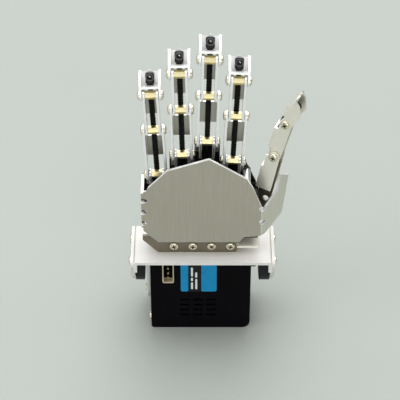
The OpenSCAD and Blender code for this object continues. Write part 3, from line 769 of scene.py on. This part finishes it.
def make_thumb_cord():
    knuckle, tip = joint_pos("thumb_knuckle"), joint_pos("thumb_tip_joint")
    _, ((base_y, base_z), (mid_y, mid_z), (tip_y, tip_z)) = thumb_frame()
    palm = Vector((0, 1, 0))
    lane_x = LANE_START + 4 * LANE_PITCH
    fold = CORD_OFFSET * math.tan(THUMB_TIP_OPEN / 2)
    through, over = (Vector((lane_x, y, z)) for y, z in THUMB_GUIDE)
    points = [Vector((lane_x, CORD_Y, DRUM_Z)), through, over,
              knuckle + base_y * CORD_OFFSET - base_z * THUMB_LEAD, knuckle + mid_y * CORD_OFFSET,
              tip + mid_y * CORD_OFFSET + mid_z * fold, tip + tip_y * CORD_OFFSET + tip_z * CORD_TOP]
    normals = [palm, palm, palm.lerp(base_y, 0.4), base_y, mid_y, mid_y.lerp(tip_y, 0.5), tip_y]
    samples = resample(rounded_route(points, normals), RING_STEP)
    cuts = [nearest_step(samples, p) for p in (knuckle + base_y * CORD_OFFSET - base_z * (BEND_REACH + 0.6),
                                               (knuckle + tip) / 2 + mid_y * CORD_OFFSET)]
    place(cord_stretch("thumb_cord_palm", samples, 0, cuts[0]), "hand", "black_cord", "thumb_cord")
    lower = cord_stretch("thumb_cord_1", samples, cuts[0], cuts[1])
    bend_between(lower)
    upper = cord_stretch("thumb_cord_2", samples, cuts[1], samples[0][-1])
    bend_between(upper)


BEAD_FOOT = 3.45
BEAD_W = 3.1
BEAD_D = 2.5
BEAD_FRONT = 0.15
RIM_R = 0.26
RIM_W = 2.25
RIM_H = 2.1
RIM_Z = 2.55
BEAD_R = 0.9
BEAD_Y = 1.15
BEAD_STEPS = 6
BEAD_CORNER_MIN = 0.25
RIM_CORNER = 0.7
RIM_PROUD = 0.02
TUBE_SIDES = 8
LOOP_W = 0.42
LOOP_H = 0.4
LOOP_DROP = 0.25
LOOP_WAVE = 0.1
LOOP_R = 0.22
# Radius of the pale stub that is a painted highlight.
HIGHLIGHT_STUB_R = 0.17
NECK_SHIFT = 0.42
NECK_R = 0.4
# (height from the foot, narrowing of the outline) up the outside, over the rim and down the hollow
BEAD_WALL = ((0, 0.62), (0.12, 0.34), (0.45, 0.1), (1.0, 0.0), (1.7, 0.05), (1.95, 0.16), (2.2, 0.05),
             (2.9, 0.0), (3.6, 0.04), (3.8, 0.14), (3.88, 0.28), (3.84, 0.46), (3.6, 0.52), (2.5, 0.56))


def add_tube(bm, centres, radius, up, material):
    """Adds a tube of one material, in mm."""
    before = set(bm.faces)
    tube(bm, centres, radius, TUBE_SIDES, np.tile(up, (len(centres), 1)))
    for face in set(bm.faces) - before:
        face.material_index = material


def make_knot(name, joint, body, x_axis, palm, along):
    """A moulded sleeve with a hollow top and a rimmed window over the cord's knot, above a neck of cord; the rim
    is painted as lit grey and a pale stub in the window is a painted highlight.
    """
    origin = joint_pos(joint) + palm * (BEAD_Y + BEAD_FRONT)
    bm = bmesh.new()
    rings = []
    for height, narrow in BEAD_WALL:
        corner = max(BEAD_CORNER_MIN, BEAD_R - narrow)
        outline = round_rect(BEAD_W - 2 * narrow, BEAD_D - 2 * narrow, [corner] * 4, BEAD_STEPS)
        rings.append([bm.verts.new((origin + x_axis * x + palm * y + along * (BEAD_FOOT + height)) * MM)
                      for x, y in outline])
    for lower, upper in zip(rings, rings[1:]):
        for i in range(len(lower)):
            k = (i + 1) % len(lower)
            bm.faces.new([lower[i], lower[k], upper[k], upper[i]])
    bm.faces.new(rings[0][::-1])
    bm.faces.new(rings[-1])
    for face in bm.faces:
        face.material_index = 0
    x_vec, y_vec, z_vec, start = (np.array(v) for v in (x_axis, palm, along, origin))
    window = start - (BEAD_D / 2 + BEAD_FRONT * 2 - RIM_R - RIM_PROUD) * y_vec + (BEAD_FOOT + RIM_Z) * z_vec
    outline = np.array(round_rect(RIM_W, RIM_H, [RIM_CORNER] * 4, 8))
    outline = np.vstack([outline, outline[:1]])
    rim = window + np.outer(outline[:, 0], x_vec) + np.outer(outline[:, 1], z_vec)
    # The rim takes the painted lit grey.
    add_tube(bm, rim, RIM_R, y_vec, 1)
    turns = np.linspace(0, 2 * np.pi, 25)
    loop = (window + np.outer(LOOP_W * np.cos(turns), x_vec)
            + np.outer(LOOP_WAVE + LOOP_WAVE * np.sin(2 * turns), y_vec)
            + np.outer(LOOP_H * np.sin(turns) - LOOP_DROP, z_vec))
    add_tube(bm, loop, LOOP_R, y_vec, 2)
    # Painted highlight: a pale stub in the window.
    highlight_stub = window + np.outer(np.linspace(-0.2, 0.35, 6), x_vec) + np.outer(np.linspace(0.5, 0.05, 6), z_vec)
    add_tube(bm, highlight_stub, HIGHLIGHT_STUB_R, y_vec, 3)
    neck = np.linspace(BEAD_FOOT - 0.22, BEAD_FOOT + 0.35, 5)
    for shift in (-NECK_SHIFT, 0.0, NECK_SHIFT):
        add_tube(bm, start + shift * x_vec + np.outer(neck, z_vec), NECK_R, y_vec, 2)
    made = piece("detailed_" + name, bm, [BEAD_BLACK, BEAD_RIM_PAINTED_LIGHT, CORD_BLACK, HIGHLIGHT_STUB_PALE], 50)
    place(made, body, "black_bead", name)


# ---------- servo details ----------


LABEL_CORNER = 0.9
# (distance from the label's left or right edge, width)
BAR_LEFT = (0.1, 2.8)
BAR_RIGHT = (5.8, 5.7)
LINE_LEFT = 4.3
LINE_FOOT = 1.3
LINE_PITCH = 1.6
LINE_W = 0.75
LINE_GAP = 0.7
# Lengths of the blank pale lines, in two rows
LABEL_LINES = ((3.4, 1.7, 4.4), (5.2, 2.6))
SOCKET_DEEP = 2.6
SOCKET_WALL = 0.42
SOCKET_CORNERS = (0.7, 0.4)
SOCKET_LIP = 0.08
SOCKET_PINS = 4
PIN_HALF = 0.3
PIN_TIP = 0.7


def make_label():
    """Plain colour blocks on the servo's front: two blue bars and blank pale lines on black."""
    low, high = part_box("servo_label")
    width, height, depth = high.x - low.x, high.z - low.z, high.y - low.y
    centre = (low + high) / 2
    corner = LABEL_CORNER * MM
    base = depth * 0.6
    bm = bmesh.new()
    slab(bm, round_rect(width, height, [corner] * 4), (centre.x, high.y, centre.z), base, 0)
    bar_h = height - 0.3 * MM
    for start, bar_w in ((low.x + BAR_LEFT[0] * MM, BAR_LEFT[1] * MM),
                         (high.x - BAR_RIGHT[0] * MM, BAR_RIGHT[1] * MM)):
        outline = round_rect(bar_w, bar_h, [corner * 0.8] * 4)
        slab(bm, outline, (start + bar_w / 2, high.y - base * 0.98, centre.z), depth * 0.35, 1)
    line_x = low.x + LINE_LEFT * MM
    for row, lengths in enumerate(LABEL_LINES):
        foot = low.z + LINE_FOOT * MM
        for length in lengths:
            outline = round_rect(LINE_W * MM, length * MM, [0.3 * MM] * 4)
            at = (line_x + row * LINE_PITCH * MM, high.y - base * 0.98, foot + length / 2 * MM)
            slab(bm, outline, at, depth * 0.3, 2)
            foot += (length + LINE_GAP) * MM
    made = piece("printed_label", bm, [FILM_BLACK, FILM_BLUE, FILM_PALE], 30)
    place(made, "wrist_servo", "label_film", "servo_label")


def make_socket():
    """A moulded connector shell with four pins on its floor."""
    low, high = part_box("connector_socket")
    centre = (low + high) / 2
    width, height = high.x - low.x, high.z - low.z
    wall = SOCKET_WALL * MM
    outer = round_rect(width, height, [SOCKET_CORNERS[0] * MM] * 4)
    inner = round_rect(width - 2 * wall, height - 2 * wall, [SOCKET_CORNERS[1] * MM] * 4)
    bm = bmesh.new()
    deep = SOCKET_DEEP * MM
    levels = [(outer, high.y), (outer, low.y + SOCKET_LIP * MM), (outer, low.y), (inner, low.y),
              (inner, low.y + deep)]
    rings = [[bm.verts.new((centre.x + x, y, centre.z + z)) for x, z in line] for line, y in levels]
    for ring, following in zip(rings, rings[1:]):
        for i in range(len(ring)):
            k = (i + 1) % len(ring)
            bm.faces.new([ring[i], ring[k], following[k], following[i]])
    bm.faces.new(rings[0])
    bm.faces.new(rings[-1])
    for face in bm.faces:
        face.material_index = 0
    # Painted shade: the floor of the hollow takes the black case plastic.
    bm.faces[:][-1].material_index = 2
    half = PIN_HALF * MM
    for i in range(SOCKET_PINS):
        z = low.z + height * (i + 0.9) / 4.8
        box_verts(bm, (centre.x - half, low.y + PIN_TIP * MM, z - half),
                  (centre.x + half, low.y + deep + 0.1 * MM, z + half), material=1)
    made = piece("moulded_socket", bm, [CREAM_PLASTIC, BRASS, CASE_BLACK], 30)
    place(made, "wrist_servo", "cream_plastic", "connector_socket")
    soften(made, 0.06 * MM)


# ---------- build ----------

make_camera()
make_world()
make_light()
make_floor()
SCENE.view_settings.view_transform = "Standard"

for node in ("gear_case", "middle_case", "bottom_cover"):
    dress(node, CASE_BLACK, 0.28 * MM, 3)
for node in ("drive_horn", "idler_horn"):
    dress(node, HORN_BLACK, 0.3 * MM, 3)
dress("grip_servo", DARK_PLASTIC, 0.35 * MM, 3)
dress("cord_guide", PLATE_BLACK_AND_SHADE, 0.12 * MM)
dress("winding_drum", WHITE_NYLON, 0.12 * MM)
dress("circuit_board", BOARD_GREEN, 0.1 * MM)
dress("servo_motor", MOTOR_CAN, 0.4 * MM, 3)
dress("output_shaft", BRASS, 0.2 * MM)
dress("idler_plate", SHEET, 0.15 * MM, 2, CUT_EDGE_AND_HIGHLIGHT)
dress("wrist_bracket", WHITE_PAINT, 0.18 * MM, 3)
dress("bracket_arms", WHITE_PAINT, 0.15 * MM, 3)
# The palm frame's body carries painted shade; its foot and its rounded edges carry painted light.
dress("palm_frame", SHADED_FRAME_METAL, 0.1 * MM, 2, FOOT_METAL_PAINTED_LIGHT, None, painted_light_foot_faces)
# Back plate: brighter edges partly as a painted highlight, and its wing as painted light.
dress("back_plate", HAIRLINE, 0.13 * MM, 2, CUT_EDGE_AND_HIGHLIGHT, WING_METAL_PAINTED_LIGHT, back_faces, 60)
# The palm plate is painted near-black, partly as painted shade behind the knuckles.
dress("palm_plate", PLATE_BLACK_AND_SHADE, 0.1 * MM)
dress("plate_spacers", SPACER_STEEL, 0.1 * MM)
for node in ("thumb_base", "thumb_proximal", "thumb_distal"):
    dress(node, THUMB_METAL, 0.12 * MM, 2, CUT_EDGE_AND_HIGHLIGHT)
dress("knuckle_brackets", SHEET, 0.12 * MM, 2, CUT_EDGE_AND_HIGHLIGHT)
# The thumb bracket carries painted shade.
dress("thumb_bracket", SHADED_POCKET_METAL, 0.1 * MM)
for node in ("knuckle_spacers", "thumb_spacers"):
    dress(node, GOLD, 0.1 * MM)
for finger in FINGERS:
    for part in ("proximal", "middle"):
        # Finger channels: brighter front edges partly as a painted highlight, and darker webs as painted shade.
        dress(f"{finger}_{part}", SHEET, 0.12 * MM, 2, CUT_EDGE_AND_HIGHLIGHT, SHADED_WEB_METAL, channel_highlight_and_shade_faces)
    # Fingertips carry painted light.
    dress(finger + "_distal", TIP_METAL_PAINTED_LIGHT, 0.12 * MM, 2, CUT_EDGE_AND_HIGHLIGHT)
    dress(finger + "_spacers", GOLD, 0.1 * MM)

for node in ("case_screws", "hand_screws", "thumb_screws"):
    make_screws(node)
for lane, finger in enumerate(FINGERS):
    make_screws(finger + "_screws")
    make_finger_cord(finger, lane)
    x_axis = joint_x(finger + "_tip_joint")
    palm = Vector((0, 1, 0))
    tip_frame = curled(x_axis, palm, x_axis.cross(palm))
    make_knot(finger + "_knot", finger + "_tip_joint", finger + "_fingertip", x_axis, *tip_frame)
make_thumb_cord()
thumb_x, thumb_parts = thumb_frame()
make_knot("thumb_knot", "thumb_tip_joint", "thumb_tip", thumb_x, *thumb_parts[2])
make_label()
make_socket()
